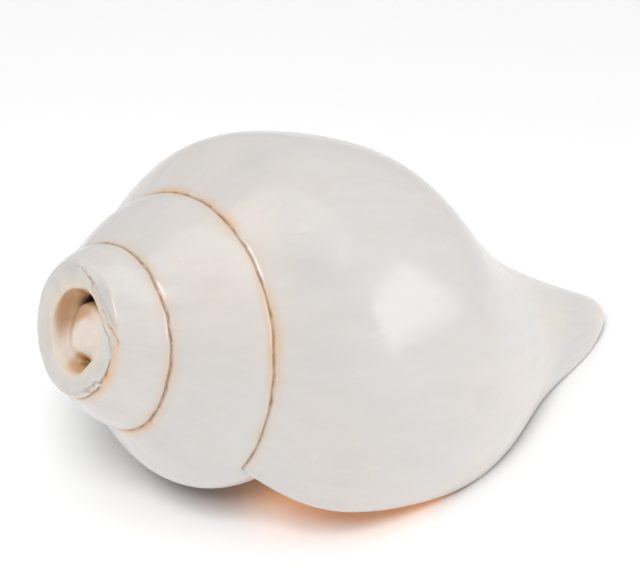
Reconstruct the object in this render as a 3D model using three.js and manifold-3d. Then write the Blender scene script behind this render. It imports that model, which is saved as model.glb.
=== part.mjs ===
// A polished conch shell, lying with its opening down. The tip of its spire is ground off to make
// a round mouth hole for blowing, and the hollow winds from that hole down to the long opening.
//
// A growth stage says where a point is along the coil: 0 is the outer lip, where the shell stopped
// growing, and each whole number is one turn back towards the tip of the spire. A profile is the
// outline of the shell at one stage, from the seam with the whorl before to the end of the canal.
// A station is a distance along the shell's axis, from the spire to the canal.
// The axis is X, an angle of 0 is up, and an angle of 90 degrees is the near side.
import * as THREE from 'three';
import { ParametricGeometry } from 'three/addons/geometries/ParametricGeometry.js';
import { mergeGeometries, mergeVertices } from 'three/addons/utils/BufferGeometryUtils.js';
import Module from 'manifold-3d';

// The seam where each whorl meets the one before, from one turn past the lip to four turns back.
const SEAM_STATIONS = [64, 40.2, 23.7, 13.2, 8.5, 6];
const SEAM_RADII = [41.2, 30.7, 18.9, 12.8, 9, 6.3];
// How far each whorl swells over the straight line between its two seams.
const LIP_SWELL = 2.2;
const MID_SWELL = 2.5;
const TURN_SWELL = 1.2;
const SWELL_PLACE = 0.5;
// The rest of the profile at the lip, half a turn back and one turn back.
const LIP_STATIONS = [79, 94, 109, 124, 139, 148];
const LIP_RADII = [40.8, 38, 31.1, 20.1, 12, 5];
const MID_STATIONS = [72, 84, 97, 113, 133, 145];
const MID_RADII = [34, 25.7, 15.4, 9.3, 4.6, 2.6];
const TURN_STATIONS = [50, 64, 81, 104, 130, 144];
const TURN_RADII = [29.5, 24, 15.5, 9.5, 6.5, 3.4];
const CANAL_END = 150;
const SEAM_KNOT = 2;
const LAST_KNOT = 9;
// The thickened pad beside the opening that the shell lies on.
const PAD = { stage: 0.78, station: 54, height: 7.5, turns: 0.12, length: 21 };
// The hollow: its wall, and where it ends towards the canal at each half turn.
const WALL = 4;
const LIP_EDGE = 1.8;
const LIP_TAPER = 0.1;
const CANAL_THINNING = 0.4;
const HOLLOW_ENDS = [147, 110, 88, 68, 51, 40, 32];
const HOLLOW_TURNS = 2.9;
const HOLLOW_LEAD = 0.03;
const ROUND_END = 0.12;
const LIP_ROUNDING = 1.2;
// The ground mouth hole.
const MOUTH_STATION = 12.5;
const MOUTH_RADIUS = 7.7;
const RIM_RADIUS = 11;
const MOUTH_DEPTH = 14;
const STUMP_RADIUS = 3.3;
const STUMP_HEIGHT = 7;
// How the shell lies: the lip's angle from the top, the dip of the canal end, the axis' height.
const LIP_ANGLE = THREE.MathUtils.degToRad(125.35);
const DIP = THREE.MathUtils.degToRad(19.7);
const AXIS_HEIGHT = 28.5;
const AXIS_STATION = 75;
const MIDDLE = new THREE.Vector3(3.95, -2.5, 0);
const GROUND_CUT = 0.4;
// How finely the surfaces are divided.
const PROFILE_STEPS = 27;
const TURN_STEPS = 36;
const SPIRE_TURNS = 2.5;
const HOLLOW_STEPS = 60;
const RIM_STEPS = 3;
const SHELL_COLOUR = 0xe2dcd6;

// A smooth curve through equally spaced values, unbent at both ends.
function smoothCurve(values) {
  const last = values.length - 1;
  const bend = new Array(last + 1).fill(0);
  const share = new Array(last + 1).fill(0);
  for (let i = 1; i < last; i += 1) {
    share[i] = 1 / (4 - share[i - 1]);
    const corner = 6 * (values[i - 1] - 2 * values[i] + values[i + 1]);
    bend[i] = (corner - bend[i - 1]) * share[i];
  }
  for (let i = last - 1; i > 0; i -= 1) {
    bend[i] -= share[i] * bend[i + 1];
  }
  return (x) => {
    const i = THREE.MathUtils.clamp(Math.floor(x), 0, last - 1);
    const t = x - i;
    const s = 1 - t;
    const curved = (s ** 3 - s) * bend[i] + (t ** 3 - t) * bend[i + 1];
    return s * values[i] + t * values[i + 1] + curved / 6;
  };
}

// The value at a stage from 0 to 1, given at the lip, half a turn back and one turn back.
function acrossTurn(stage, lip, mid, turn) {
  return lip * (1 - stage) * (1 - 2 * stage) + mid * 4 * stage * (1 - stage)
    + turn * stage * (2 * stage - 1);
}

const seamStation = smoothCurve(SEAM_STATIONS);
const seamLogRadius = smoothCurve(SEAM_RADII.map(Math.log));

function seam(stage) {
  return { station: seamStation(stage + 1), radius: Math.exp(seamLogRadius(stage + 1)) };
}

// The outline of the shell at one stage, as station and radius over a count of knots from 0 to 9.
// Beyond one turn the whorl keeps its form and shrinks with its seam.
function profile(stage) {
  const start = seam(stage);
  const cover = seam(stage - 1);
  const within = Math.min(stage, 1);
  const shrink = stage > 1 ? cover.radius / seam(0).radius : 1;
  const swell = acrossTurn(within, LIP_SWELL, MID_SWELL, TURN_SWELL)
    * (stage > 1 ? start.radius / seam(1).radius : 1);
  const along = cover.station - start.station;
  const out = cover.radius - start.radius;
  const span = Math.hypot(along, out);
  const stations = [
    start.station,
    start.station + SWELL_PLACE * along - swell * out / span,
    cover.station,
  ];
  const radii = [
    start.radius,
    start.radius + SWELL_PLACE * out + swell * along / span,
    cover.radius,
  ];
  LIP_STATIONS.forEach((lipStation, i) => {
    const station = acrossTurn(within, lipStation, MID_STATIONS[i], TURN_STATIONS[i]);
    const radius = acrossTurn(within, LIP_RADII[i], MID_RADII[i], TURN_RADII[i]);
    const inner = stage > 1;
    stations.push(inner ? cover.station + shrink * (station - seam(0).station) : station);
    radii.push(inner ? cover.radius + shrink * (radius - seam(0).radius) : radius);
  });
  stations.push(CANAL_END);
  radii.push(0);
  return { station: smoothCurve(stations), radius: smoothCurve(radii) };
}

// A point of the shell's own frame: its axis is X, and the angle falls by one turn per stage.
function place(station, radius, stage, target) {
  const angle = LIP_ANGLE - 2 * Math.PI * stage;
  return target.set(station - AXIS_STATION, -radius * Math.sin(angle), radius * Math.cos(angle));
}

// The pad's height over the plain profile, falling to nothing at its edge.
function padHeight(stage, station) {
  const aroundPad = (stage - PAD.stage) / PAD.turns;
  const alongPad = (station - PAD.station) / PAD.length;
  const away = Math.min(Math.hypot(aroundPad, alongPad), 1);
  return PAD.height * Math.cos(Math.PI / 2 * away) ** 2;
}

// A point of the outside, by stage and by place on the profile.
function outside(stage, knot) {
  const outline = profile(stage);
  const station = outline.station(knot);
  return { station, radius: outline.radius(knot) + padHeight(stage, station), stage };
}

// The radius and the slope of a profile at a station, found by halving.
function radiusAt(outline, station) {
  let low = 0;
  let high = LAST_KNOT;
  for (let i = 0; i < 24; i += 1) {
    const middle = (low + high) / 2;
    if (outline.station(middle) < station) {
      low = middle;
    } else {
      high = middle;
    }
  }
  const step = 0.02;
  const rise = outline.radius(low + step) - outline.radius(low - step);
  const run = outline.station(low + step) - outline.station(low - step);
  return { radius: outline.radius(low), slope: rise / run };
}

// The loop around the opening: out along the lip to the canal, back along the whorl beneath it.
const OUTER_STEPS = PROFILE_STEPS;
const INNER_STEPS = PROFILE_STEPS * (LAST_KNOT - SEAM_KNOT) / LAST_KNOT;
const LOOP_STEPS = OUTER_STEPS + INNER_STEPS;

function loopPoint(index) {
  if (index <= OUTER_STEPS) {
    return outside(0, LAST_KNOT * index / PROFILE_STEPS);
  }
  return outside(1, LAST_KNOT * (1 - (index - OUTER_STEPS) / PROFILE_STEPS));
}

// How far along the hollow a loop point is, from 0 at the seam to 1 at the canal.
function loopFraction(index) {
  const start = loopPoint(0).station;
  return (loopPoint(index).station - start) / (CANAL_END - start);
}

function wallThickness(stage, fraction) {
  const shrink = stage > 1 ? seam(stage).radius / seam(1).radius : 1;
  const grown = THREE.MathUtils.smoothstep(stage, 0, LIP_TAPER);
  const thick = THREE.MathUtils.lerp(LIP_EDGE, WALL, grown) * shrink;
  return thick * (1 - CANAL_THINNING * THREE.MathUtils.smoothstep(fraction, 0.5, 1));
}

const hollowEnd = smoothCurve(HOLLOW_ENDS);

// A point of the wall of the hollow. Its outer side lies a wall's thickness inside the whorl, its
// inner side is the surface of the whorl before, and both ends are rounded.
function hollow(stage, index, outlines) {
  const fraction = loopFraction(index);
  const start = seam(stage);
  const first = Math.max(start.station + 2 + 0.13 * start.radius, MOUTH_STATION + 2.5);
  const station = THREE.MathUtils.lerp(first, hollowEnd(2 * stage), fraction);
  const outer = radiusAt(outlines.outer, station);
  const inner = radiusAt(outlines.inner, station);
  const wall = wallThickness(stage, fraction) * Math.hypot(1, outer.slope);
  const gap = Math.max(outer.radius - wall - inner.radius, 0.6);
  const nearEnd = Math.min(fraction, 1 - fraction) / ROUND_END;
  const opened = nearEnd < 1 ? Math.sqrt(1 - (1 - nearEnd) ** 2) : 1;
  const side = index <= OUTER_STEPS ? 0.5 + 0.5 * opened : 0.5 - 0.5 * opened;
  const radius = inner.radius + gap * side;
  return { station, radius, stage: stage + HOLLOW_LEAD * (1 - side) };
}

function hollowOutlines(stage) {
  return { outer: profile(stage), inner: profile(stage + 1 + HOLLOW_LEAD) };
}

function makeBodyWhorl() {
  const surface = (u, v, target) => {
    const point = outside(v, LAST_KNOT * u);
    place(point.station, point.radius, point.stage, target);
  };
  return new ParametricGeometry(surface, PROFILE_STEPS, TURN_STEPS);
}

function makeSpire() {
  const surface = (u, v, target) => {
    const point = outside(1 + SPIRE_TURNS * v, SEAM_KNOT * u);
    place(point.station, point.radius, point.stage, target);
  };
  const across = PROFILE_STEPS * SEAM_KNOT / LAST_KNOT;
  return new ParametricGeometry(surface, across, TURN_STEPS * SPIRE_TURNS);
}

// The spire is closed by a cone to its axis, which the mouth hole takes away again.
function makeSpireEnd() {
  const point = new THREE.Vector3();
  const edge = new THREE.Vector3();
  const tip = place(2, 0, 0, new THREE.Vector3());
  const cone = (u, v, target) => {
    const start = seam(SPIRE_TURNS + v);
    place(start.station, start.radius, SPIRE_TURNS + v, edge);
    target.lerpVectors(tip, edge, u);
  };
  const face = (u, v, target) => {
    const end = outside(SPIRE_TURNS + 1, SEAM_KNOT * v);
    place(end.station, end.radius, end.stage, point);
    target.lerpVectors(tip, point, u);
  };
  const across = PROFILE_STEPS * SEAM_KNOT / LAST_KNOT;
  return [
    new ParametricGeometry(cone, 1, TURN_STEPS),
    new ParametricGeometry(face, 1, across),
  ];
}

// The rounded edge of the opening, from the outside to the start of the hollow.
function makeRim() {
  const outlines = hollowOutlines(0);
  const surface = (u, v, target) => {
    const index = Math.round(v * LOOP_STEPS);
    const edge = loopPoint(index);
    const start = hollow(0, index, outlines);
    const onLip = index <= OUTER_STEPS;
    const edgeStage = onLip ? edge.stage : edge.stage - 1;
    const radius = THREE.MathUtils.lerp(edge.radius, start.radius, u);
    const fade = onLip ? Math.min(index / 2, edge.radius / 8, 1) : 0;
    const forward = LIP_ROUNDING * fade * Math.sin(Math.PI * u);
    const stage = THREE.MathUtils.lerp(edgeStage, start.stage, u)
      - forward / (2 * Math.PI * Math.max(radius, 2));
    place(THREE.MathUtils.lerp(edge.station, start.station, u), radius, stage, target);
  };
  return new ParametricGeometry(surface, RIM_STEPS, LOOP_STEPS);
}

function makeHollow() {
  const stages = (u) => HOLLOW_TURNS * u ** 1.25;
  const loops = [];
  for (let row = 0; row <= HOLLOW_STEPS; row += 1) {
    loops.push(hollowOutlines(stages(row / HOLLOW_STEPS)));
  }
  const tube = (u, v, target) => {
    const row = Math.min(Math.round(u * HOLLOW_STEPS), HOLLOW_STEPS);
    const stage = stages(row / HOLLOW_STEPS);
    const point = hollow(stage, Math.round(v * LOOP_STEPS), loops[row]);
    place(point.station, point.radius, point.stage, target);
  };
  const centre = new THREE.Vector3();
  const last = loops[HOLLOW_STEPS];
  for (let index = 0; index < LOOP_STEPS; index += 1) {
    const point = hollow(HOLLOW_TURNS, index, last);
    const step = place(point.station, point.radius, point.stage, new THREE.Vector3());
    centre.addScaledVector(step, 1 / LOOP_STEPS);
  }
  const cap = (u, v, target) => {
    const point = hollow(HOLLOW_TURNS, Math.round(v * LOOP_STEPS), last);
    place(point.station, point.radius, point.stage, target).lerp(centre, u);
  };
  return [
    new ParametricGeometry(tube, HOLLOW_STEPS, LOOP_STEPS),
    new ParametricGeometry(cap, 1, LOOP_STEPS),
  ];
}

// What is ground away at the spire: everything past a flat rim, and a round hole. In the middle of
// its floor stands the stump of the pillar that the whorls wind around.
function makeMouthCutter() {
  const floor = MOUTH_STATION + MOUTH_DEPTH;
  const points = [
    new THREE.Vector2(0, -30),
    new THREE.Vector2(45, -30),
    new THREE.Vector2(45, MOUTH_STATION + 9),
    new THREE.Vector2(RIM_RADIUS + 4, MOUTH_STATION + 1.1),
    new THREE.Vector2(RIM_RADIUS, MOUTH_STATION),
    new THREE.Vector2(MOUTH_RADIUS + 1, MOUTH_STATION),
    new THREE.Vector2(MOUTH_RADIUS + 0.3, MOUTH_STATION + 0.4),
    new THREE.Vector2(MOUTH_RADIUS, MOUTH_STATION + 1.4),
    new THREE.Vector2(MOUTH_RADIUS - 0.5, floor - 4),
    new THREE.Vector2(MOUTH_RADIUS - 1.5, floor - 0.8),
    new THREE.Vector2(MOUTH_RADIUS - 3, floor),
    new THREE.Vector2(STUMP_RADIUS, floor - 2.5),
    new THREE.Vector2(STUMP_RADIUS - 1.1, floor - STUMP_HEIGHT + 0.5),
    new THREE.Vector2(0, floor - STUMP_HEIGHT),
  ];
  const cutter = new THREE.LatheGeometry(points, 40);
  cutter.rotateZ(-Math.PI / 2);
  cutter.translate(-AXIS_STATION, 0, 0);
  return cutter;
}

// One closed mesh whose pieces share their corners, without the triangles that shrink to nothing.
function weld(geometries) {
  const bare = geometries.map((geometry) => {
    geometry.deleteAttribute('normal');
    geometry.deleteAttribute('uv');
    return geometry;
  });
  const joined = mergeVertices(mergeGeometries(bare), 1e-3);
  const index = joined.index.array;
  const kept = [];
  for (let i = 0; i < index.length; i += 3) {
    const [a, b, c] = [index[i], index[i + 1], index[i + 2]];
    if (a !== b && b !== c && c !== a) {
      kept.push(a, b, c);
    }
  }
  joined.setIndex(kept);
  return joined;
}

const wasm = await Module();
wasm.setup();

function toSolid(geometry) {
  const mesh = new wasm.Mesh({
    numProp: 3,
    vertProperties: new Float32Array(geometry.attributes.position.array),
    triVerts: new Uint32Array(geometry.index.array),
  });
  return new wasm.Manifold(mesh);
}

function toGeometry(solid) {
  const mesh = solid.getMesh();
  const geometry = new THREE.BufferGeometry();
  geometry.setAttribute('position', new THREE.BufferAttribute(mesh.vertProperties, 3));
  geometry.setIndex(new THREE.BufferAttribute(mesh.triVerts, 1));
  geometry.computeVertexNormals();
  return geometry;
}

function makeShell() {
  const pieces = [makeBodyWhorl(), makeSpire(), ...makeSpireEnd(), makeRim(), ...makeHollow()];
  const grown = toSolid(weld(pieces));
  const ground = weld([new THREE.BoxGeometry(300, 200, 40)]);
  ground.translate(0, 0, -20 + GROUND_CUT);
  ground.translate(0, 0, -AXIS_HEIGHT);
  ground.rotateY(-DIP);
  const cut = grown.subtract(toSolid(weld([makeMouthCutter()]))).subtract(toSolid(ground));
  const material = new THREE.MeshStandardMaterial({
    color: SHELL_COLOUR,
    roughness: 0.28,
    metalness: 0,
  });
  const shell = new THREE.Mesh(toGeometry(cut), material);
  shell.name = 'shell';
  shell.rotation.y = DIP;
  shell.position.set(0, 0, AXIS_HEIGHT - GROUND_CUT).sub(MIDDLE);
  return shell;
}

const conch = new THREE.Group();
conch.add(makeShell());
export default conch;
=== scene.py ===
"""A polished conch shell, lying with its opening down on a pale table.

A growth stage says where a point is along the coil: 0 is the outer lip, and each whole number is
one turn back towards the spire. A knot is a place on the outline of the shell at one stage, from 0
at the seam with the whorl before to 9 at the end of the canal. A station is a distance along the
shell's axis, from the spire to the canal.
"""

import math

import bpy
import numpy as np
from bpy.props import (
    FloatProperty,
    FloatVectorProperty,
    IntProperty,
    PointerProperty,
)
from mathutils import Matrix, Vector


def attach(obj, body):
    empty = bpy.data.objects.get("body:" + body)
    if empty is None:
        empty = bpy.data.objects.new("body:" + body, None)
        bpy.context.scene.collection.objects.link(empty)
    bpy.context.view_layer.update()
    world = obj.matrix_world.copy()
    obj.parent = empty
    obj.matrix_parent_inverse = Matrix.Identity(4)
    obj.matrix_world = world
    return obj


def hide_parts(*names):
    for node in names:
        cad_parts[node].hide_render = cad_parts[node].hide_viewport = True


bl_info = {
    "name": "Conch shell",
    "version": (1, 0, 0),
    "blender": (4, 5, 0),
    "location": "View3D > Sidebar > Conch",
    "description": "Grows a polished conch shell with a ground mouth hole",
    "category": "Object",
}

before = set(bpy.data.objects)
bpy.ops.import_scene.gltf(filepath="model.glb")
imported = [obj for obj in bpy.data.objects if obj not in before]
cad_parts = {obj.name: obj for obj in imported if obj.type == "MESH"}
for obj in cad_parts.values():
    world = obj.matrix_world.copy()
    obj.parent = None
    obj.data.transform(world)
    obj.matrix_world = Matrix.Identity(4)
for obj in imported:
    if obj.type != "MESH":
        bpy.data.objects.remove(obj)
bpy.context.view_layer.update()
MM = 0.001
# Knots of the outline where the next seam lies and where the canal ends.
SEAM_KNOT = 2
LAST_KNOT = 9
# A seam distance, in millimetres, for faces that no seam comes near.
FAR = 40.0
# How many turns the spire goes on past the first.
SPIRE_TURNS = 2.5
# The halvings that find a radius at a station, and the step of knots that finds its slope.
HALVINGS = 22
SLOPE_STEP = 0.02
# The hollow's least width in millimetres, and the turns by which its inner side runs ahead.
LEAST_GAP = 0.6
HOLLOW_LEAD = 0.03
# The turns in which the wall grows from the lip's thickness, and the share it loses at the canal.
LIP_TAPER = 0.1
CANAL_THINNING = 0.4
# The share of the hollow's length that each rounded end takes, and how its rows crowd to the lip.
ROUND_END = 0.12
HOLLOW_CROWDING = 1.3
# The depths in the place map: down a turn of the hollow, across the lip's edge, at the far end.
DEPTH_A_TURN = 60
LIP_DEPTH = 3
END_DEPTH = 170
# Rows of the lip's rounded edge, and how near in metres two points are when they are one.
RIM_ROWS = 11
WELD_DISTANCE = 2e-6
# The mouth tool's outer radius and its back, in millimetres, and its steps in a turn.
TOOL_RADIUS = 46
TOOL_BACK = -30
TOOL_STEPS = 300
# The cut shell has far more faces than this, unless the cut went wrong.
FEWEST_FACES = 10000
# Half the side of the table, in metres.
TABLE_HALF = 2.0


class ShellShape(bpy.types.PropertyGroup):
    """The sizes of the shell, its hollow and its mouth hole."""

    seam_stations: FloatVectorProperty(
        name="Seam stations",
        description="Where the seam lies along the axis, from a turn past the lip, turn by turn",
        size=6, unit="LENGTH", default=(0.064, 0.0402, 0.0237, 0.0132, 0.0085, 0.006),
    )
    seam_radii: FloatVectorProperty(
        name="Seam radii", description="The seam's distance from the axis at the same stages",
        size=6, unit="LENGTH", default=(0.0412, 0.0307, 0.0189, 0.0128, 0.009, 0.0063),
    )
    swell: FloatVectorProperty(
        name="Swell", description="How far a whorl swells at the lip, half a turn and a turn back",
        size=3, unit="LENGTH", default=(0.0022, 0.0025, 0.0012),
    )
    lip_stations: FloatVectorProperty(
        name="Lip stations", description="The lip's outline along the axis, past the seam",
        size=6, unit="LENGTH", default=(0.079, 0.094, 0.109, 0.124, 0.139, 0.148),
    )
    lip_radii: FloatVectorProperty(
        name="Lip radii", description="The lip's distance from the axis at those stations",
        size=6, unit="LENGTH", default=(0.0408, 0.038, 0.0311, 0.0201, 0.012, 0.005),
    )
    mid_stations: FloatVectorProperty(
        name="Half turn stations", description="The outline along the axis half a turn back",
        size=6, unit="LENGTH", default=(0.072, 0.084, 0.097, 0.113, 0.133, 0.145),
    )
    mid_radii: FloatVectorProperty(
        name="Half turn radii", description="The distance from the axis at those stations",
        size=6, unit="LENGTH", default=(0.034, 0.0257, 0.0154, 0.0093, 0.0046, 0.0026),
    )
    turn_stations: FloatVectorProperty(
        name="Full turn stations", description="The outline along the axis a whole turn back",
        size=6, unit="LENGTH", default=(0.05, 0.064, 0.081, 0.104, 0.13, 0.144),
    )
    turn_radii: FloatVectorProperty(
        name="Full turn radii", description="The distance from the axis at those stations",
        size=6, unit="LENGTH", default=(0.0295, 0.024, 0.0155, 0.0095, 0.0065, 0.0034),
    )
    canal_end: FloatProperty(
        name="Canal end", description="Where the canal ends on the axis",
        unit="LENGTH", default=0.15,
    )
    pad_height: FloatProperty(
        name="Pad height", description="The swelling beside the opening that the shell lies on",
        unit="LENGTH", default=0.0075,
    )
    pad_station: FloatProperty(
        name="Pad station", description="Where the middle of the pad lies along the axis",
        unit="LENGTH", default=0.054,
    )
    pad_length: FloatProperty(
        name="Pad length", description="How far the pad reaches each way along the axis",
        unit="LENGTH", default=0.021,
    )
    pad_stage: FloatProperty(
        name="Pad stage", description="How many turns back from the lip the pad lies",
        default=0.78,
    )
    pad_turns: FloatProperty(
        name="Pad turns", description="How many turns the pad reaches each way", default=0.12,
    )
    seam_waver: FloatProperty(
        name="Seam waver", description="How far the seam wavers along the axis",
        unit="LENGTH", default=0.00012,
    )
    groove_depth: FloatProperty(
        name="Seam depth", description="How deep the line is cut in where two whorls meet",
        unit="LENGTH", default=0.00022,
    )
    groove_width: FloatProperty(
        name="Seam width", description="How wide that line is",
        unit="LENGTH", default=0.00042,
    )
    wall: FloatProperty(
        name="Wall", description="The shell's thickness behind the lip",
        unit="LENGTH", default=0.004,
    )
    lip_edge: FloatProperty(
        name="Lip edge", description="The thickness at the edge of the lip",
        unit="LENGTH", default=0.0018,
    )
    lip_rounding: FloatProperty(
        name="Lip rounding", description="How far the rounded edge stands out past the lip",
        unit="LENGTH", default=0.0012,
    )
    hollow_ends: FloatVectorProperty(
        name="Hollow ends", description="Where the hollow ends towards the canal, each half turn",
        size=7, unit="LENGTH", default=(0.147, 0.11, 0.088, 0.068, 0.051, 0.04, 0.032),
    )
    hollow_turns: FloatProperty(
        name="Hollow turns", description="How many turns the hollow winds back", default=2.9,
    )
    mouth_station: FloatProperty(
        name="Mouth station", description="Where the spire is ground off along the axis",
        unit="LENGTH", default=0.0125,
    )
    mouth_radius: FloatProperty(
        name="Mouth radius", description="The radius of the mouth hole",
        unit="LENGTH", default=0.0077,
    )
    lip_angle: FloatProperty(
        name="Lip angle", description="The lip's place around the axis, from the top",
        unit="ROTATION", default=math.radians(125.35),
    )
    dip: FloatProperty(
        name="Dip", description="How far the canal end points down",
        unit="ROTATION", default=math.radians(19.7),
    )
    origin: FloatVectorProperty(
        name="Axis place", description="Where the middle of the axis lies",
        size=3, subtype="TRANSLATION", unit="LENGTH", default=(-0.00395, 0.0025, 0.0281),
    )
    middle_station: FloatProperty(
        name="Middle station", description="The station of that middle",
        unit="LENGTH", default=0.075,
    )
    turn_rows: IntProperty(
        name="Rows in a turn", description="How finely a turn is divided", default=148, min=24,
    )
    hollow_rows: IntProperty(
        name="Rows in the hollow", description="How finely the hollow is divided", default=130,
    )


class ShellFinish(bpy.types.PropertyGroup):
    """The colours and the gloss of the shell."""

    body: FloatVectorProperty(
        name="Shell", description="The polished outside", size=3, subtype="COLOR",
        default=(0.592, 0.570, 0.552), min=0, max=1,
    )
    cloud: FloatVectorProperty(
        name="Cloud", description="The warmer patches of the outside", size=3, subtype="COLOR",
        default=(0.630, 0.578, 0.536), min=0, max=1,
    )
    shade: FloatVectorProperty(
        name="Grey patch", description="The cooler patches of the outside", size=3,
        subtype="COLOR", default=(0.530, 0.522, 0.512), min=0, max=1,
    )
    seam: FloatVectorProperty(
        name="Seam", description="The brown line where two whorls meet", size=3,
        subtype="COLOR", default=(0.340, 0.200, 0.110), min=0, max=1,
    )
    halo: FloatVectorProperty(
        name="Seam halo", description="The peach tint beside the seam", size=3,
        subtype="COLOR", default=(0.64, 0.46, 0.31), min=0, max=1,
    )
    lip: FloatVectorProperty(
        name="Lip edge", description="The rounded edge of the lip", size=3, subtype="COLOR",
        default=(0.70, 0.50, 0.36), min=0, max=1,
    )
    lining: FloatVectorProperty(
        name="Lining", description="The glossy wall of the opening", size=3,
        subtype="COLOR", default=(0.74, 0.36, 0.17), min=0, max=1,
    )
    mouth_rim: FloatVectorProperty(
        name="Mouth rim", description="The ground edge of the mouth hole", size=3,
        subtype="COLOR", default=(0.645, 0.585, 0.50), min=0, max=1,
    )
    mouth_wall: FloatVectorProperty(
        name="Mouth wall", description="The warm wall of the mouth hole", size=3,
        subtype="COLOR", default=(0.56, 0.34, 0.19), min=0, max=1,
    )
    gold: FloatVectorProperty(
        name="Small opening", description="The golden opening beside the pillar's stump", size=3,
        subtype="COLOR", default=(0.36, 0.19, 0.05), min=0, max=1,
    )
    # Painted shade: the near-black brown that the hole's colour turns to with depth, where shadow
    # falls.
    painted_hole_shade: FloatVectorProperty(
        name="Mouth depth", description="The dark end of the mouth hole", size=3,
        subtype="COLOR", default=(0.07, 0.028, 0.012), min=0, max=1,
    )
    stump: FloatVectorProperty(
        name="Pillar stump", description="The stump of the pillar in the mouth hole", size=3,
        subtype="COLOR", default=(0.72, 0.635, 0.56), min=0, max=1,
    )
    roughness: FloatProperty(
        name="Roughness", description="Roughness of the polished outside",
        default=0.2, min=0, max=1, subtype="FACTOR",
    )
    glow: FloatProperty(
        name="Glow", description="How much light passes under the surface",
        default=0.25, min=0, max=1, subtype="FACTOR",
    )


class StageLook(bpy.types.PropertyGroup):
    """The table, the light and the camera."""

    azimuth: FloatProperty(
        name="Azimuth", description="Camera's turn around the shell",
        unit="ROTATION", default=math.radians(-34.96),
    )
    elevation: FloatProperty(
        name="Elevation", description="Camera's height angle",
        unit="ROTATION", default=math.radians(33.81),
    )
    distance: FloatProperty(
        name="Distance", description="Camera's distance", unit="LENGTH", default=0.56,
    )
    lens: FloatProperty(
        name="Focal length", description="In millimetres on a 36 mm wide frame", default=159.7,
    )
    aim: FloatVectorProperty(
        name="Aim", description="The point that the camera looks at", size=3,
        subtype="TRANSLATION", unit="LENGTH", default=(-0.00721, 0.0025, 0.03787),
    )
    table: FloatVectorProperty(
        name="Table", description="The table's colour", size=3, subtype="COLOR",
        default=(0.42, 0.42, 0.42), min=0, max=1,
    )
    sky: FloatProperty(name="Sky", description="Strength of the light all around", default=0.72)
    window: FloatProperty(
        name="Side window", description="Power of the panel at the right",
        unit="POWER", default=2.4,
    )
    overhead: FloatProperty(
        name="Overhead", description="Power of the panel above", unit="POWER", default=2.5,
    )
    left: FloatProperty(
        name="Left panel", description="Power of the panel at the upper left",
        unit="POWER", default=2.1,
    )
    floor_light: FloatProperty(
        name="Floor light", description="Power of the panel that lights only the table",
        unit="POWER", default=19.0,
    )
    floor_fill: FloatProperty(
        name="Floor fill", description="Strength of the wide light on the table",
        default=1.1,
    )
    lip_glow: FloatProperty(
        name="Lip glow", description="Power of the warm light that comes through the lip",
        unit="POWER", default=0.0033,
    )


def spline_weights(places, count):
    """Weights of equally spaced knots for a natural cubic spline.

    Each row holds the share of every knot in the curve's value at one place. The second
    derivatives solve the usual three-term equations, with both ends unbent.
    """
    flat = np.ravel(places)
    left = np.eye(count)
    right = np.zeros((count, count))
    inner = np.arange(1, count - 1)
    left[inner, inner - 1] = 1
    left[inner, inner] = 4
    left[inner, inner + 1] = 1
    right[inner, inner - 1] = 6
    right[inner, inner] = -12
    right[inner, inner + 1] = 6
    bends = np.linalg.solve(left, right)
    step = np.clip(np.floor(flat).astype(int), 0, count - 2)
    after = (flat - step)[:, None]
    before = 1 - after
    same = np.eye(count)
    curved = (before**3 - before) * bends[step] + (after**3 - after) * bends[step + 1]
    weights = before * same[step] + after * same[step + 1] + curved / 6
    return weights.reshape(np.shape(places) + (count,))


def ease(low, high, value):
    """Zero below low, one above high, and a smooth rise between them."""
    share = np.clip((value - low) / (high - low), 0, 1)
    return share * share * (3 - 2 * share)


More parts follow.
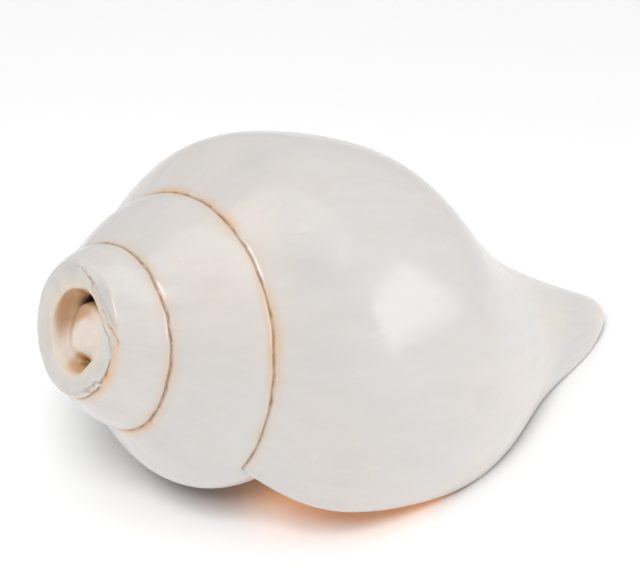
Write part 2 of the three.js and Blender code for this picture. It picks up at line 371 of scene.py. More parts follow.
class Growth:
    """The formulas of the shell's surface, in millimetres, all on whole arrays."""

    def __init__(self, shape):
        def lengths(values):
            return np.array(values) / MM

        self.seam_stations = lengths(shape.seam_stations)
        self.seam_logs = np.log(lengths(shape.seam_radii))
        self.swell = lengths(shape.swell)
        self.stations = [
            lengths(shape.lip_stations), lengths(shape.mid_stations), lengths(shape.turn_stations),
        ]
        self.radii = [
            lengths(shape.lip_radii), lengths(shape.mid_radii), lengths(shape.turn_radii),
        ]
        self.canal_end = shape.canal_end / MM
        self.pad_height = shape.pad_height / MM
        self.pad_station = shape.pad_station / MM
        self.pad_length = shape.pad_length / MM
        self.pad_stage = shape.pad_stage
        self.pad_turns = shape.pad_turns
        self.seam_waver = shape.seam_waver / MM
        self.groove_depth = shape.groove_depth / MM
        self.groove_width = shape.groove_width / MM
        self.wall = shape.wall / MM
        self.lip_edge = shape.lip_edge / MM
        self.lip_rounding = shape.lip_rounding / MM
        self.hollow_ends = lengths(shape.hollow_ends)
        self.mouth_station = shape.mouth_station / MM
        self.mouth_radius = shape.mouth_radius / MM
        self.lip_angle = shape.lip_angle
        self.dip = shape.dip
        self.origin = lengths(shape.origin)
        self.middle_station = shape.middle_station / MM

    def seam(self, stage):
        """Station and radius of the seam: a spline of stations, and one of log radii.

        Three sines of the stage make the station waver a little, less and less past the lip.
        """
        stage = np.asarray(stage, float)
        weights = spline_weights(stage + 1, len(self.seam_stations))
        turned = 2 * np.pi * stage
        waver = (
            np.sin(5.3 * turned + 1) + 0.7 * np.sin(12.7 * turned) + 0.5 * np.sin(23.4 * turned + 2)
        )
        waver = self.seam_waver * waver * ease(-0.05, 0.1, stage)
        return weights @ self.seam_stations + waver, np.exp(weights @ self.seam_logs)

    @staticmethod
    def across_turn(stage, lip, mid, turn):
        """The parabola through the values at the lip, half a turn back and one turn back."""
        return (
            lip * (1 - stage) * (1 - 2 * stage)
            + mid * 4 * stage * (1 - stage)
            + turn * stage * (2 * stage - 1)
        )

    def profile_knots(self, stage):
        """Knots of the outline at each stage, as two arrays of ten stations and ten radii.

        They are the seam, a point swollen out half way to the next seam, the next seam, six
        points down to the canal, and the canal's end. Beyond one turn the six keep their form
        and shrink with the seam.
        """
        stage = np.asarray(stage, float)
        station_0, radius_0 = self.seam(stage)
        station_2, radius_2 = self.seam(stage - 1)
        first_station, first_radius = self.seam(np.zeros(1))
        within = np.minimum(stage, 1)
        swell = self.across_turn(within, *self.swell)
        swell = np.where(stage > 1, swell * radius_0 / self.seam(np.ones(1))[1], swell)
        along = station_2 - station_0
        out = radius_2 - radius_0
        span = np.hypot(along, out)
        station_1 = station_0 + 0.5 * along - swell * out / span
        radius_1 = radius_0 + 0.5 * out + swell * along / span
        rest_stations = self.across_turn(within[:, None], *self.stations)
        rest_radii = self.across_turn(within[:, None], *self.radii)
        shrink = (radius_2 / first_radius)[:, None]
        inner = (stage > 1)[:, None]
        rest_stations = np.where(
            inner, station_2[:, None] + shrink * (rest_stations - first_station), rest_stations
        )
        rest_radii = np.where(
            inner, radius_2[:, None] + shrink * (rest_radii - first_radius), rest_radii
        )
        ends = np.full((len(stage), 1), self.canal_end)
        head = np.stack([station_0, station_1, station_2], 1)
        head_radii = np.stack([radius_0, radius_1, radius_2], 1)
        stations = np.concatenate([head, rest_stations, ends], 1)
        radii = np.concatenate([head_radii, rest_radii, np.zeros_like(ends)], 1)
        return stations, radii

    def outside(self, stage, knot):
        """Stations, radii and seam distances of the outside, by stage and knot.

        The outline's splines give the surface. The pad adds a cosine bump, and each seam takes
        away a bell-shaped groove.
        """
        stations, radii = self.profile_knots(stage)
        weights = spline_weights(knot, LAST_KNOT + 1)
        station = stations @ weights.T
        radius = radii @ weights.T
        around = (stage[:, None] - self.pad_stage) / self.pad_turns
        along = (station - self.pad_station) / self.pad_length
        away = np.minimum(np.hypot(around, along), 1)
        radius = radius + self.pad_height * np.cos(np.pi / 2 * away) ** 2
        start = np.hypot(station - stations[:, :1], radius - radii[:, :1])
        close = np.hypot(station - stations[:, 2:3], radius - radii[:, 2:3])
        older = np.broadcast_to(stage[:, None], station.shape)
        covered = ease(0.985, 1, older)
        groove = np.exp(-((start / self.groove_width) ** 2))
        groove = np.maximum(groove, covered * np.exp(-((close / self.groove_width) ** 2)))
        radius = radius - self.groove_depth * groove
        seam_gap = np.minimum(start, close + FAR * (1 - covered))
        return station, radius, seam_gap

    def radius_at(self, stations, radii, target):
        """Radius and slope of each row's outline at the target stations, found by halving."""
        low = np.zeros_like(target)
        high = np.full_like(target, LAST_KNOT)
        for _ in range(HALVINGS):
            middle = (low + high) / 2
            weights = spline_weights(middle, LAST_KNOT + 1)
            short = np.einsum("ijk,ik->ij", weights, stations) < target
            low = np.where(short, middle, low)
            high = np.where(short, high, middle)
        ahead = spline_weights(low + SLOPE_STEP, LAST_KNOT + 1)
        behind = spline_weights(low - SLOPE_STEP, LAST_KNOT + 1)
        rise = np.einsum("ijk,ik->ij", ahead - behind, radii)
        run = np.einsum("ijk,ik->ij", ahead - behind, stations)
        here = np.einsum("ijk,ik->ij", spline_weights(low, LAST_KNOT + 1), radii)
        return here, rise / run

    def hollow(self, stage, fraction, on_lip):
        """Stations, radii and stages of the hollow's wall, by stage and place around it.

        At each station the outer side lies a wall's thickness inside this whorl and the inner
        side on the whorl before. Both ends close in a quarter ellipse.
        """
        start_station, start_radius = self.seam(stage)
        first = np.maximum(start_station + 2 + 0.13 * start_radius, self.mouth_station + 2.5)
        last = spline_weights(2 * stage, len(self.hollow_ends)) @ self.hollow_ends
        target = first[:, None] + (last - first)[:, None] * fraction
        outer, slope = self.radius_at(*self.profile_knots(stage), target)
        inner, _ = self.radius_at(*self.profile_knots(stage + 1 + HOLLOW_LEAD), target)
        shrink = np.where(stage > 1, start_radius / self.seam(np.ones(1))[1], 1)
        thick = self.lip_edge + (self.wall - self.lip_edge) * ease(0, LIP_TAPER, stage)
        wall = (thick * shrink)[:, None] * (1 - CANAL_THINNING * ease(0.5, 1, fraction))
        gap = np.maximum(outer - wall * np.hypot(1, slope) - inner, LEAST_GAP)
        near_end = np.minimum(np.minimum(fraction, 1 - fraction) / ROUND_END, 1)
        opened = np.sqrt(1 - (1 - near_end) ** 2)
        side = np.where(on_lip, 0.5 + 0.5 * opened, 0.5 - 0.5 * opened)
        return target, inner + gap * side, stage[:, None] + HOLLOW_LEAD * (1 - side)

    def place(self, station, radius, stage):
        """Points in metres: along the dipping axis, and out from it at the stage's angle."""
        angle = self.lip_angle - 2 * np.pi * stage
        along = station - self.middle_station
        up = radius * np.cos(angle)
        x = along * np.cos(self.dip) + up * np.sin(self.dip)
        z = up * np.cos(self.dip) - along * np.sin(self.dip)
        y = -radius * np.sin(angle)
        return (np.stack([x, y, z], -1) + self.origin) * MM


def knot_places():
    """Knots of the outline's columns, close together beside the two seams."""
    beside = np.array([0, 0.012, 0.024, 0.037, 0.052, 0.07, 0.095, 0.13, 0.18, 0.25])
    across = np.concatenate([beside, np.linspace(0.33, 1.67, 17), 2 - beside[::-1]])
    return across, np.concatenate([across, np.linspace(2, LAST_KNOT, 88)[1:]])


def grid_faces(rows, columns, start):
    """Quads of a grid of points, row by row, facing the way that rows cross columns."""
    corner = np.arange(rows - 1)[:, None] * columns + np.arange(columns - 1) + start
    quads = np.stack([corner, corner + 1, corner + columns + 1, corner + columns], -1)
    return quads.reshape(-1, 4)


class Sheets:
    """Grids of points that are joined into one closed mesh, each with its two maps."""

    def __init__(self):
        self.points = []
        self.faces = []
        self.growth = []
        self.place = []
        self.total = 0

    def add(self, points, growth, place):
        """Takes a grid of points, rows by columns, with two numbers a point for each map."""
        rows, columns = points.shape[:2]
        self.faces.append(grid_faces(rows, columns, self.total))
        self.points.append(points.reshape(-1, 3))
        self.growth.append(np.broadcast_to(growth, points.shape[:2] + (2,)).reshape(-1, 2))
        self.place.append(np.broadcast_to(place, points.shape[:2] + (2,)).reshape(-1, 2))
        self.total += rows * columns

    def mesh(self, name):
        """One mesh of all the grids, with its shared edges merged."""
        points = np.concatenate(self.points)
        faces = np.concatenate(self.faces)
        mesh = bpy.data.meshes.new(name)
        mesh.from_pydata(points, [], faces)
        for map_name, values in (("growth", self.growth), ("place", self.place)):
            layer = mesh.uv_layers.new(name=map_name)
            layer.uv.foreach_set("vector", np.concatenate(values)[faces.ravel()].ravel())
        made = bpy.data.objects.new(name, mesh)
        bpy.context.collection.objects.link(made)
        weld = made.modifiers.new("Weld", "WELD")
        weld.merge_threshold = WELD_DISTANCE
        apply_modifiers(made)
        return made


def apply_modifiers(piece):
    """Gives the piece the mesh that its modifiers make, and takes them off."""
    bpy.context.view_layer.update()
    graph = bpy.context.evaluated_depsgraph_get()
    made = bpy.data.meshes.new_from_object(
        piece.evaluated_get(graph), preserve_all_data_layers=True, depsgraph=graph
    )
    piece.modifiers.clear()
    old = piece.data
    piece.data = made
    name = old.name
    bpy.data.meshes.remove(old)
    made.name = name


def pair(first, second):
    """Two grids of numbers as one grid of pairs."""
    return np.stack(np.broadcast_arrays(first, second), -1)


def grow_shell(shape):
    """The whole shell as one closed mesh: outside, rounded lip, hollow and its end."""
    growth = Growth(shape)
    across, knots = knot_places()
    rows = shape.turn_rows
    sheets = Sheets()

    def outside_sheet(stage, knot):
        station, radius, gap = growth.outside(stage, knot)
        points = growth.place(station, radius, stage[:, None])
        sheets.add(points, pair(stage[:, None], knot), pair(gap, 0.0))

    outside_sheet(np.linspace(0, 1, rows + 1), knots)
    spire_end = 1 + SPIRE_TURNS
    outside_sheet(np.linspace(1, spire_end, int(rows * SPIRE_TURNS) + 1), across)

    tip = growth.place(np.array(2.0), np.array(0.0), np.array(0.0))
    last_turn = np.linspace(SPIRE_TURNS, spire_end, rows + 1)
    station, radius = growth.seam(last_turn)
    ring = growth.place(station, radius - growth.groove_depth, last_turn)
    sheets.add(np.stack([np.broadcast_to(tip, ring.shape), ring], 1), (spire_end, 0), (FAR, 0))
    end = np.array([spire_end])
    station, radius, _ = growth.outside(end, across)
    face = growth.place(station, radius, end[:, None])[0]
    sheets.add(np.stack([np.broadcast_to(tip, face.shape), face], 1), (spire_end, 0), (FAR, 0))

    lip = growth.outside(np.array([0.0]), knots)
    back_knots = knots[knots >= SEAM_KNOT - 1e-9][::-1][1:]
    back = growth.outside(np.array([1.0]), back_knots)
    edge_station = np.concatenate([lip[0][0], back[0][0]])
    edge_radius = np.concatenate([lip[1][0], back[1][0]])
    edge_knot = np.concatenate([knots, back_knots])
    on_lip = np.arange(len(edge_knot)) < len(knots)
    fraction = (edge_station - edge_station[0]) / (growth.canal_end - edge_station[0])
    fraction = fraction[None, :]

    inward_share = np.linspace(0, 1, shape.hollow_rows + 1)
    hollow_stage = shape.hollow_turns * inward_share**HOLLOW_CROWDING
    station, radius, stage = growth.hollow(hollow_stage, fraction, on_lip)
    loops = growth.place(station, radius, stage)
    inward = np.broadcast_to(hollow_stage[:, None], stage.shape)
    depth = np.where(on_lip, inward * DEPTH_A_TURN + LIP_DEPTH, inward * DEPTH_A_TURN)
    sheets.add(
        loops.transpose(1, 0, 2),
        pair(stage, edge_knot).transpose(1, 0, 2),
        pair(FAR, depth + 0.5).transpose(1, 0, 2),
    )
    centre = np.broadcast_to(loops[-1].mean(0), loops[-1].shape)
    sheets.add(np.stack([loops[-1], centre], 1), (3, 1), (FAR, END_DEPTH))

    turn = np.linspace(0, np.pi, RIM_ROWS)[None, :]
    share = (1 - np.cos(turn)) / 2
    fade = np.minimum(np.minimum(np.arange(len(edge_knot)) / 6, edge_radius / 8), 1) * on_lip
    rim_station = edge_station[:, None] * (1 - share) + station[0][:, None] * share
    rim_radius = edge_radius[:, None] * (1 - share) + radius[0][:, None] * share
    forward = growth.lip_rounding * fade[:, None] * np.sin(turn)
    rim_stage = stage[0][:, None] * share
    rim_stage = rim_stage - forward / (2 * np.pi * np.maximum(rim_radius, 2))
    points = growth.place(rim_station, rim_radius, rim_stage)
    depth = np.where(on_lip[:, None], LIP_DEPTH * share, 0.5 * share)
    gap = np.concatenate([lip[2][0], back[2][0]])[:, None] + 6 * share
    sheets.add(points, pair(rim_stage, edge_knot[:, None]), pair(gap, depth))
    return sheets.mesh("conch")


def around(turn, middle, width):
    """A bell of a turn's angles around a middle angle, all in degrees."""
    away = (turn - middle + 180) % 360 - 180
    return np.exp(-((away / width) ** 2))


def mouth_edge(radius, angle):
    """The mouth hole's radius at each angle: three sines and one bell make it waver."""
    waver = (
        1 + 0.022 * np.sin(np.radians(2 * angle + 40)) + 0.016 * np.sin(np.radians(3 * angle))
        + 0.012 * np.sin(np.radians(7 * angle + 80)) + 0.09 * around(angle, 157, 20)
    )
    return radius * waver


def mouth_outline(hole, angle):
    """Radii and depths of the tool's face at each angle, from its outside to the stump's top.

    A spline goes through the knots: the sloping face, the rounded edge of the hole, the trough
    and the top of the pillar's stump.
    """
    deep = 2.3 + 1.4 * around(angle, 268, 44)
    lean = np.cos(np.radians(angle - 150))
    ones = np.ones_like(deep)
    knots = [
        (TOOL_RADIUS * ones, 26), (30 * ones, 13), (18 * ones, 3.5), (14.6 * ones, 1.0),
        (12 * ones, 0.12), (10.4 * ones, -0.05), (hole + 1.0, 0.0), (hole + 0.4, 0.12),
        (hole, 0.5), (hole - 0.35, 0.42 * deep), (hole - 0.85, 0.8 * deep), (hole - 1.6, deep),
        (0.5 * hole + 1.3, 0.92 * deep - 0.15 * lean), (4.1 * ones, 0.75 + 0.5 * deep - 0.5 * lean),
        (2.8 * ones, 1.25 + 0.22 * deep - 0.5 * lean), (1.4 * ones, 1.75 - 0.35 * lean),
        (0 * ones, 1.75),
    ]
    radii = np.concatenate([knot[0] for knot in knots], 1)
    depths = np.concatenate([knot[1] * ones for knot in knots], 1)
    last = len(knots) - 1
    places = np.concatenate([np.linspace(0, 2, 13), np.linspace(2, last, 140)[1:]])
    weights = spline_weights(places, len(knots)).T
    radius = radii @ weights
    radius[:, -1] = 0
    return radius, depths @ weights


def face_seam(radius, angle):
    """The distance from the seam on the ground face, and how plainly it shows at each angle."""
    path_angle = np.array([-20, 0, 10, 21, 34, 44, 55, 65, 75, 90, 99, 112, 124, 136, 160, 190])
    path_radius = np.array(
        [11.6, 10.7, 10.2, 9.9, 9.5, 9.7, 10.5, 11.7, 13.1, 14.7, 14.2, 13.4, 12.4, 11.9, 12, 13]
    )
    path = np.interp((angle + 40) % 360 - 40, path_angle, path_radius)
    ripple = 0.14 * np.sin(np.radians(17 * angle)) + 0.1 * np.sin(np.radians(41 * angle + 30))
    return np.abs(radius - path - ripple), around(angle, 72, 82)


def mouth_warmth(radius, angle, hole, pit):
    """How warm the hole's wall is: 0 on the pale face, 1 on the wall, 2 in the small openings."""
    inside = ease(0.2, -0.5, radius - hole) * ease(2.6, 4.6, radius)
    warm = inside * around(angle, 282, 50) + 2.1 * np.sqrt(pit)
    warm = np.maximum(warm, 1.6 * inside * around(angle, 336, 24) * ease(5.4, 6.4, radius))
    flank = around(angle, 318, 58) * ease(0.6, 3.4, radius) * (radius < hole)
    return np.maximum(warm, 1.05 * flank)


def mouth_tool(shape):
    """The solid that grinds off the spire and the mouth hole, carried around the shell's axis.

    Bells of angle and radius add a small pit to its face, and the slit where the hollow winds on
    past the stump. The seam of the whorl is cut in as a groove along its own path of radii.
    """
    growth = Growth(shape)
    top = growth.mouth_station
    turn = np.linspace(0, 1, TOOL_STEPS + 1)[:, None]
    angle = np.degrees(growth.lip_angle) - 360 * turn
    hole = mouth_edge(growth.mouth_radius, angle)
    radius, depth = mouth_outline(hole, angle)
    pit = around(angle, 160, 15) * np.exp(-(((radius - 6.4) / 1.1) ** 2))
    slit = around(angle, 336, 36) * np.exp(-(((radius - 5.5) / 0.6) ** 2))
    depth = depth + 1.9 * pit + 6.5 * slit
    gap, along = face_seam(radius, angle)
    depth = depth + 0.5 * along * np.exp(-((gap / 0.3) ** 2))
    warm = mouth_warmth(radius, angle, hole, pit)

    ones = np.ones_like(turn)
    back = TOOL_BACK * ones
    warm = np.concatenate([0 * ones, 0 * ones, warm], 1)
    radius = np.concatenate([0 * ones, TOOL_RADIUS * ones, radius], 1)
    station = np.concatenate([back, back, top + depth], 1)
    gap = np.concatenate([FAR * ones, FAR * ones, gap + 3 * (1 - along)], 1)
    points = growth.place(station, radius, turn)
    points[-1] = points[0]
    sheets = Sheets()
    sheets.add(points, pair(radius, gap), pair(warm, station - top))
    return sheets.mesh("mouth_tool")


def grind_mouth(shell, tool):
    """Cuts the tool out of the shell, keeping the tool's own material on the new faces."""
    cut = shell.modifiers.new("Mouth hole", "BOOLEAN")
    cut.operation = "DIFFERENCE"
    cut.object = tool
    cut.solver = "MANIFOLD"
    cut.material_mode = "TRANSFER"
    apply_modifiers(shell)
    bpy.data.objects.remove(tool)


def flatten_base(mesh):
    """Wears the shell flat where it touches the table: no point lies below it."""
    points = np.empty(len(mesh.vertices) * 3)
    mesh.vertices.foreach_get("co", points)
    points[2::3] = np.maximum(points[2::3], 0)
    mesh.vertices.foreach_set("co", points)
    mesh.update()


def socket(group, name, kind, direction):
    """Adds a named input or output to a node group."""
    group.interface.new_socket(name=name, in_out=direction, socket_type=kind)


class Nodes:
    """Short ways to add and join nodes in one tree."""

    def __init__(self, tree):
        self.tree = tree
        self.column = 0

    def add(self, kind, label="", **settings):
        """A node of this kind, its label and its settings, with input values by their names."""
        node = self.tree.nodes.new(kind)
        node.label = label
        node.location = (self.column * 190 - 1600, -(self.column % 5) * 190)
        self.column += 1
        for name, value in settings.items():
            setattr(node, name, value)
        return node

    def feed(self, target, value):
        """Joins an output to an input, or sets the input's own value."""
        if isinstance(value, bpy.types.NodeSocket):
            self.tree.links.new(value, target)
        else:
            target.default_value = value

    def maths(self, operation, *values):
        """A Math node's result."""
        node = self.add("ShaderNodeMath", operation=operation)
        for target, value in zip(node.inputs, values):
            self.feed(target, value)
        return node.outputs[0]

    def mix(self, factor, first, second, label="", blend="MIX"):
        """A colour mixed by a factor."""
        node = self.add("ShaderNodeMix", label, data_type="RGBA", blend_type=blend)
        self.feed(node.inputs["Factor"], factor)
        self.feed(node.inputs["A"], first)
        self.feed(node.inputs["B"], second)
        return node.outputs["Result"]

    def spread(self, value, low, high, to_low=0.0, to_high=1.0, label=""):
        """A value stretched smoothly from one range to another."""
        node = self.add("ShaderNodeMapRange", label, interpolation_type="SMOOTHSTEP")
        for target, number in zip(node.inputs, (value, low, high, to_low, to_high)):
            self.feed(target, number)
        return node.outputs["Result"]

    def noise(self, vector, scale, detail=3.0, roughness=0.5, label=""):
        """Noise from 0 to 1 over a vector."""
        node = self.add("ShaderNodeTexNoise", label)
        self.feed(node.inputs["Vector"], vector)
        node.inputs["Scale"].default_value = scale
        node.inputs["Detail"].default_value = detail
        node.inputs["Roughness"].default_value = roughness
        return node.outputs["Fac"]

    def combine(self, x, y, z):
        """A vector of three values."""
        node = self.add("ShaderNodeCombineXYZ")
        for target, value in zip(node.inputs, (x, y, z)):
            self.feed(target, value)
        return node.outputs[0]

    def split(self, vector):
        """The three values of a vector."""
        node = self.add("ShaderNodeSeparateXYZ")
        self.feed(node.inputs[0], vector)
        return node.outputs


def shell_marks_group():
    """Cloudy patches, growth lines across the whorls and a few fine scratches."""
    group = bpy.data.node_groups.new("Shell marks", "ShaderNodeTree")
    socket(group, "Growth map", "NodeSocketVector", "INPUT")
    socket(group, "Place", "NodeSocketVector", "INPUT")
    socket(group, "Lines", "NodeSocketFloat", "OUTPUT")
    socket(group, "Scratches", "NodeSocketFloat", "OUTPUT")
    socket(group, "Clouds", "NodeSocketFloat", "OUTPUT")
    nodes = Nodes(group)
    given = nodes.add("NodeGroupInput")
    stage, knot, _ = nodes.split(given.outputs["Growth map"])
    wander = nodes.noise(given.outputs["Place"], 40, 2, label="Wander")
    slant = nodes.maths("MULTIPLY_ADD", wander, 0.02, stage)
    lines_at = nodes.combine(nodes.maths("MULTIPLY", slant, 60.0), knot, 0.0)
    lines = nodes.noise(lines_at, 1.0, 4, 0.6, label="Growth lines")
    turned = nodes.add("ShaderNodeMapping", "Along the scratches")
    nodes.feed(turned.inputs["Vector"], given.outputs["Place"])
    turned.inputs["Rotation"].default_value = (0.5, 0.35, 0.75)
    turned.inputs["Scale"].default_value = (14, 500, 500)
    thin = nodes.noise(turned.outputs[0], 1.0, 1, 0.4, label="Thin")
    few = nodes.noise(given.outputs["Place"], 55, 1, label="Few")
    thin = nodes.spread(thin, 0.66, 0.74, label="Scratch")
    few = nodes.spread(few, 0.52, 0.62, label="Some places")
    clouds = nodes.noise(given.outputs["Place"], 24, 3, 0.55, label="Clouds")
    out = nodes.add("NodeGroupOutput")
    nodes.feed(out.inputs["Lines"], lines)
    nodes.feed(out.inputs["Scratches"], nodes.maths("MULTIPLY", thin, few))
    nodes.feed(out.inputs["Clouds"], clouds)
    return group


def new_material(name, colour, roughness):
    """A material with a Principled shader, its own plain values set on its sockets."""
    material = bpy.data.materials.new(name)
    material.use_nodes = True
    tree = material.node_tree
    tree.nodes.clear()
    nodes = Nodes(tree)
    shader = nodes.add("ShaderNodeBsdfPrincipled", "Surface")
    shader.inputs["Base Color"].default_value = (*colour, 1)
    shader.inputs["Roughness"].default_value = roughness
    out = nodes.add("ShaderNodeOutputMaterial")
    nodes.feed(out.inputs["Surface"], shader.outputs[0])
    shader.location = (700, 0)
    out.location = (1000, 0)
    return material, nodes, shader


def colour4(values):
    """A colour with full alpha."""
    return (*values, 1)


def map_nodes(nodes, marks):
    """The piece's two maps, its place and the marks that both finishes share."""
    growth = nodes.add("ShaderNodeUVMap", "Growth map", uv_map="growth").outputs[0]
    place_map = nodes.add("ShaderNodeUVMap", "Place map", uv_map="place").outputs[0]
    here = nodes.add("ShaderNodeTexCoord", "Object").outputs["Object"]
    marked = nodes.add("ShaderNodeGroup", "Shell marks", node_tree=marks)
    nodes.feed(marked.inputs["Growth map"], growth)
    nodes.feed(marked.inputs["Place"], here)
    return nodes.split(growth), nodes.split(place_map), here, marked.outputs


def tint(nodes, colour, value, label):
    """A colour made lighter or darker by a value around one."""
    return nodes.mix(1.0, colour, nodes.combine(value, value, value), label, "MULTIPLY")


def translucent(shader, finish):
    """Lets a little warm light through under the surface, as in a real shell's thin edge."""
    shader.inputs["Subsurface Weight"].default_value = finish.glow
    shader.inputs["Subsurface Radius"].default_value = (1.0, 0.45, 0.22)
    shader.inputs["Subsurface Scale"].default_value = 0.004


def porcelain_material(finish, marks):
    """The polished outside, its brown seams with their peach halo, and the glossy lining."""
    material, nodes, shader = new_material("polished_shell", finish.body, finish.roughness)
    (stage, _, _), (gap, depth, _), here, marked = map_nodes(nodes, marks)

    warm = nodes.spread(marked["Clouds"], 0.42, 0.68, label="Warm patches")
    colour = nodes.mix(warm, colour4(finish.body), colour4(finish.cloud), "Warm")
    grey = nodes.spread(nodes.noise(here, 30, 2), 0.54, 0.76, 0.0, 0.7, label="Grey patches")
    colour = nodes.mix(grey, colour, colour4(finish.shade), "Grey")
    lines = nodes.spread(marked["Lines"], 0.3, 0.7, 0.975, 1.015, label="Lines")
    colour = tint(nodes, colour, lines, "Lines")
    scratched = nodes.spread(marked["Scratches"], 0.0, 1.0, 1.0, 1.03, label="Scratches")
    colour = tint(nodes, colour, scratched, "Scratches")
    specks = nodes.noise(here, 190, 2, label="Specks")
    specks = nodes.spread(specks, 0.735, 0.79, 0.0, 0.55, label="Warm specks")
    colour = nodes.mix(specks, colour, colour4(finish.halo), "Specks")

    ragged = nodes.noise(here, 420, 3, 0.65, label="Ragged")
    reach = nodes.maths("MULTIPLY_ADD", ragged, 1.3, gap)
    halo = nodes.spread(reach, 0.8, 3.1, 0.95, 0.0, label="Halo")
    patchy = nodes.spread(nodes.noise(here, 70, 2), 0.35, 0.62, 0.25, 1.0, label="Patchy")
    halo = nodes.maths("MULTIPLY", halo, patchy)
    colour = nodes.mix(halo, colour, colour4(finish.halo), "Halo")
    dashes_at = nodes.combine(nodes.maths("MULTIPLY", stage, 60.0), 0.0, 0.0)
    dashes = nodes.noise(dashes_at, 1.0, 3, label="Dashes")
    dashes = nodes.spread(dashes, 0.32, 0.6, 0.35, 1.0, label="Dashes")
    wide = nodes.maths("MULTIPLY_ADD", ragged, 0.6, gap)
    line = nodes.spread(wide, 0.36, 0.78, 1.0, 0.0, label="Line")
    line = nodes.maths("MULTIPLY", line, dashes)
    colour = nodes.mix(line, colour, colour4(finish.seam), "Seam")

    edge = nodes.spread(depth, 0.02, 0.9, label="Lip edge")
    colour = nodes.mix(edge, colour, colour4(finish.lip), "Lip edge")
    inside = nodes.spread(depth, 1.2, 6.0, label="Inside")
    colour = nodes.mix(inside, colour, colour4(finish.lining), "Lining")
    nodes.feed(shader.inputs["Base Color"], colour)

    rough = nodes.spread(nodes.noise(here, 90, 3), 0.3, 0.7, -0.04, 0.05, label="Rubbed")
    rough = nodes.maths("ADD", rough, finish.roughness)
    rough = nodes.maths("MULTIPLY_ADD", line, 0.4, rough)
    nodes.feed(shader.inputs["Roughness"], rough)

    height = nodes.maths("MULTIPLY", marked["Lines"], 0.5)
    height = nodes.maths("MULTIPLY_ADD", marked["Scratches"], 0.35, height)
    height = nodes.maths("MULTIPLY_ADD", nodes.noise(here, 75, 2), 1.2, height)
    bump = nodes.add("ShaderNodeBump", "Relief")
    bump.inputs["Strength"].default_value = 0.2
    bump.inputs["Distance"].default_value = 0.0004
    nodes.feed(bump.inputs["Height"], height)
    nodes.feed(shader.inputs["Normal"], bump.outputs[0])
    shader.inputs["IOR"].default_value = 1.55
    translucent(shader, finish)
    return material


def mouth_material(finish, marks):
    """The ground face, the warm wall of the mouth hole and the pale stump in it, with painted shade
    that turns the deep end of the hole near black.
    """
    material, nodes, shader = new_material("mouth_hole", finish.mouth_rim, 0.36)
    (radius, gap, _), (warm, depth, _), here, _ = map_nodes(nodes, marks)
    ragged = nodes.noise(here, 420, 3, 0.65, label="Ragged")
    patchy = nodes.noise(here, 150, 3, 0.6, label="Patchy")

    outer = nodes.maths("MULTIPLY_ADD", patchy, 3.0, radius)
    outer = nodes.spread(outer, 9.6, 12.4, label="Outer")
    colour = nodes.mix(outer, colour4(finish.mouth_rim), colour4(finish.body), "Outer")
    cream = nodes.spread(depth, 0.15, 1.0, label="Cream")
    colour = nodes.mix(cream, colour, colour4(finish.stump), "Cream")
    warmth = nodes.maths("MULTIPLY_ADD", patchy, 0.5, warm)
    wall = nodes.spread(warmth, 0.3, 1.05, label="Wall")
    colour = nodes.mix(wall, colour, colour4(finish.mouth_wall), "Wall")
    gold = nodes.spread(nodes.maths("MULTIPLY_ADD", ragged, 0.5, warm), 1.35, 2.0, label="Gold")
    colour = nodes.mix(gold, colour, colour4(finish.gold), "Gold")
    # Painted shade: the colour darkens to near black deep in the hole, where shadow falls.
    deep = nodes.maths("MULTIPLY_ADD", patchy, 1.6, depth)
    dark = nodes.spread(deep, 4.2, 6.0, label="Dark")
    colour = nodes.mix(dark, colour, colour4(finish.painted_hole_shade), "Dark")
    streaks = nodes.spread(patchy, 0.3, 0.7, 0.9, 1.05, label="Streaks")
    colour = tint(nodes, colour, streaks, "Streaks")

    reach = nodes.maths("MULTIPLY_ADD", ragged, 0.7, gap)
    halo = nodes.spread(reach, 0.4, 1.5, 0.7, 0.0, label="Halo")
    colour = nodes.mix(halo, colour, colour4(finish.halo), "Halo")
    wide = nodes.maths("MULTIPLY_ADD", ragged, 0.7, gap)
    dashes = nodes.spread(patchy, 0.38, 0.58, 0.3, 1.0, label="Dashes")
    line = nodes.spread(wide, 0.36, 0.8, 1.0, 0.0, label="Line")
    line = nodes.maths("MULTIPLY", line, dashes)
    second = nodes.maths("SUBTRACT", nodes.maths("MULTIPLY_ADD", ragged, 2.4, gap), 2.9)
    second = nodes.maths("ABSOLUTE", second)
    second = nodes.spread(second, 0.1, 0.5, 0.6, 0.0, label="Second line")
    line = nodes.maths("MAXIMUM", line, nodes.maths("MULTIPLY", second, dashes))
    colour = nodes.mix(line, colour, colour4(finish.seam), "Seam")
    nodes.feed(shader.inputs["Base Color"], colour)

    bump = nodes.add("ShaderNodeBump", "Ground marks")
    bump.inputs["Strength"].default_value = 0.35
    bump.inputs["Distance"].default_value = 0.0004
    nodes.feed(bump.inputs["Height"], nodes.maths("ADD", ragged, patchy))
    nodes.feed(shader.inputs["Normal"], bump.outputs[0])
    shader.inputs["IOR"].default_value = 1.55
    translucent(shader, finish)
    return material


class CONCH_OT_shell(bpy.types.Operator):
    """Grows the shell, grinds its mouth hole and gives it its finish."""

    bl_idname = "conch.shell"
    bl_label = "Conch shell"
    bl_options = {"REGISTER", "UNDO"}

    def execute(self, context):
        shape = context.scene.conch_shape
        finish = context.scene.conch_finish
        marks = shell_marks_group()
        shell = grow_shell(shape)
        shell.data.materials.append(porcelain_material(finish, marks))
        flatten_base(shell.data)
        tool = mouth_tool(shape)
        tool.data.materials.append(mouth_material(finish, marks))
        grind_mouth(shell, tool)
        if len(shell.data.polygons) < FEWEST_FACES:
            raise RuntimeError("The mouth hole took the whole shell away")
        shell.data.polygons.foreach_set("use_smooth", [True] * len(shell.data.polygons))
        shell.data.update()
        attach(shell, "root")
        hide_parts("shell")
        return {"FINISHED"}


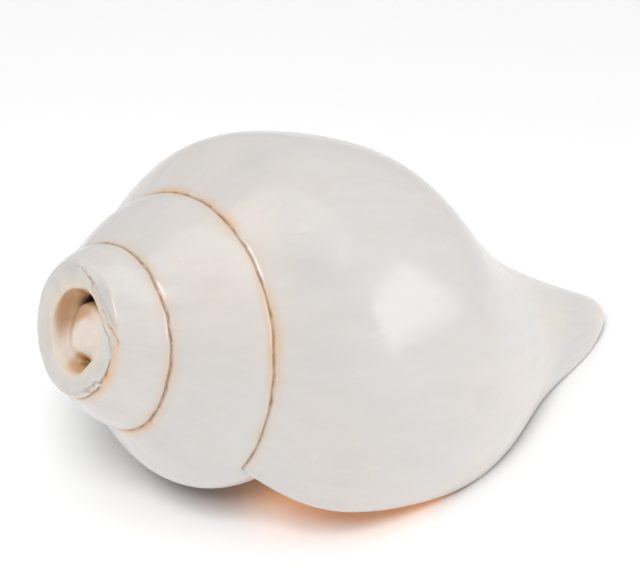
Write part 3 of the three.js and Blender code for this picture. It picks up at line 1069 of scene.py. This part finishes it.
def area_light(name, spot, target, size, power, colour=(1, 1, 1)):
    """A rectangular light panel at a spot, facing a target."""
    light = bpy.data.lights.new(name, "AREA")
    light.shape = "RECTANGLE"
    light.size, light.size_y = size
    light.energy = power
    light.color = colour
    made = bpy.data.objects.new(name, light)
    made.location = spot
    made.rotation_euler = (Vector(target) - Vector(spot)).to_track_quat("-Z", "Y").to_euler()
    bpy.context.collection.objects.link(made)
    return made


def table_material(look):
    """A plain pale table top, faintly glossy."""
    material, nodes, shader = new_material("table", look.table, 0.35)
    here = nodes.add("ShaderNodeTexCoord", "Object").outputs["Object"]
    worn = nodes.spread(nodes.noise(here, 6, 2), 0.3, 0.7, 0.3, 0.4, label="Worn")
    nodes.feed(shader.inputs["Roughness"], worn)
    shader.inputs["IOR"].default_value = 1.45
    return material


class CONCH_OT_stage(bpy.types.Operator):
    """Sets the table, the soft light and the camera."""

    bl_idname = "conch.stage"
    bl_label = "Table, light and camera"
    bl_options = {"REGISTER", "UNDO"}

    def execute(self, context):
        look = context.scene.conch_stage
        half = TABLE_HALF
        mesh = bpy.data.meshes.new("table")
        corners = [(-half, -half, 0), (half, -half, 0), (half, half, 0), (-half, half, 0)]
        mesh.from_pydata(corners, [], [(0, 1, 2, 3)])
        table = bpy.data.objects.new("table", mesh)
        context.collection.objects.link(table)
        mesh.materials.append(table_material(look))

        world = bpy.data.worlds.new("soft_sky")
        context.scene.world = world
        world.use_nodes = True
        sky = world.node_tree.nodes["Background"]
        sky.inputs["Color"].default_value = (1, 1, 1, 1)
        sky.inputs["Strength"].default_value = look.sky
        target = tuple(look.aim)
        area_light("side_window", (0.58, -0.59, 0.285), target, (0.66, 0.44), look.window)
        area_light("overhead", (0.02, -0.04, 0.98), target, (0.66, 1.1), look.overhead)
        area_light("left_panel", (-0.62, -0.1, 0.72), target, (0.3, 0.3), look.left)
        base = (target[0], target[1], 0)
        spot = (-0.5, -0.5, 0.84)
        high = area_light("floor_light", spot, base, (0.35, 0.35), look.floor_light)
        spot = (-0.014, -0.0165, 0.008)
        amber = (1, 0.36, 0.08)
        low = area_light("lip_glow", spot, (*spot[:2], 0), (0.044, 0.005), look.lip_glow, amber)
        low.rotation_euler = (0, 0, math.radians(-32))
        low.visible_camera = False
        only_table = bpy.data.collections.new("only_table")
        only_table.objects.link(table)
        for panel in (high, low):
            panel.light_linking.receiver_collection = only_table
        low.light_linking.blocker_collection = only_table
        fill = bpy.data.objects.new("floor_fill", bpy.data.lights.new("floor_fill", "SUN"))
        fill.data.energy = look.floor_fill
        fill.data.angle = math.radians(25)
        fill.rotation_euler = (math.radians(25), 0, look.azimuth)
        fill.light_linking.receiver_collection = only_table
        context.collection.objects.link(fill)

        camera = bpy.data.cameras.new("camera")
        camera.sensor_width = 36
        camera.lens = look.lens
        camera.clip_start = 0.01
        turn = look.azimuth
        lift = look.elevation
        back = Vector((
            math.sin(turn) * math.cos(lift), -math.cos(turn) * math.cos(lift), math.sin(lift)
        ))
        made = bpy.data.objects.new("camera", camera)
        made.location = Vector(look.aim) + look.distance * back
        made.rotation_euler = (-back).to_track_quat("-Z", "Y").to_euler()
        context.collection.objects.link(made)
        context.scene.camera = made
        context.scene.view_settings.view_transform = "Standard"
        return {"FINISHED"}


class CONCH_PT_panel(bpy.types.Panel):
    """Lists the shell's sizes, its finish and its stage."""

    bl_idname = "CONCH_PT_panel"
    bl_label = "Conch shell"
    bl_space_type = "VIEW_3D"
    bl_region_type = "UI"
    bl_category = "Conch"

    def draw(self, context):
        layout = self.layout
        layout.operator(CONCH_OT_shell.bl_idname)
        layout.operator(CONCH_OT_stage.bl_idname)
        for group in ("conch_shape", "conch_finish", "conch_stage"):
            settings = getattr(context.scene, group)
            box = layout.box()
            for name in type(settings).__annotations__:
                box.prop(settings, name)


CLASSES = (
    ShellShape, ShellFinish, StageLook, CONCH_OT_shell, CONCH_OT_stage, CONCH_PT_panel,
)


def register():
    """Registers the classes and hangs their settings on the scene."""
    for cls in CLASSES:
        bpy.utils.register_class(cls)
    bpy.types.Scene.conch_shape = PointerProperty(type=ShellShape)
    bpy.types.Scene.conch_finish = PointerProperty(type=ShellFinish)
    bpy.types.Scene.conch_stage = PointerProperty(type=StageLook)


def unregister():
    """Takes the settings and the classes away again."""
    del bpy.types.Scene.conch_stage
    del bpy.types.Scene.conch_finish
    del bpy.types.Scene.conch_shape
    for cls in reversed(CLASSES):
        bpy.utils.unregister_class(cls)


def main():
    """Makes the shell and its stage."""
    register()
    bpy.ops.conch.shell()
    bpy.ops.conch.stage()


if __name__ == "__main__":
    main()
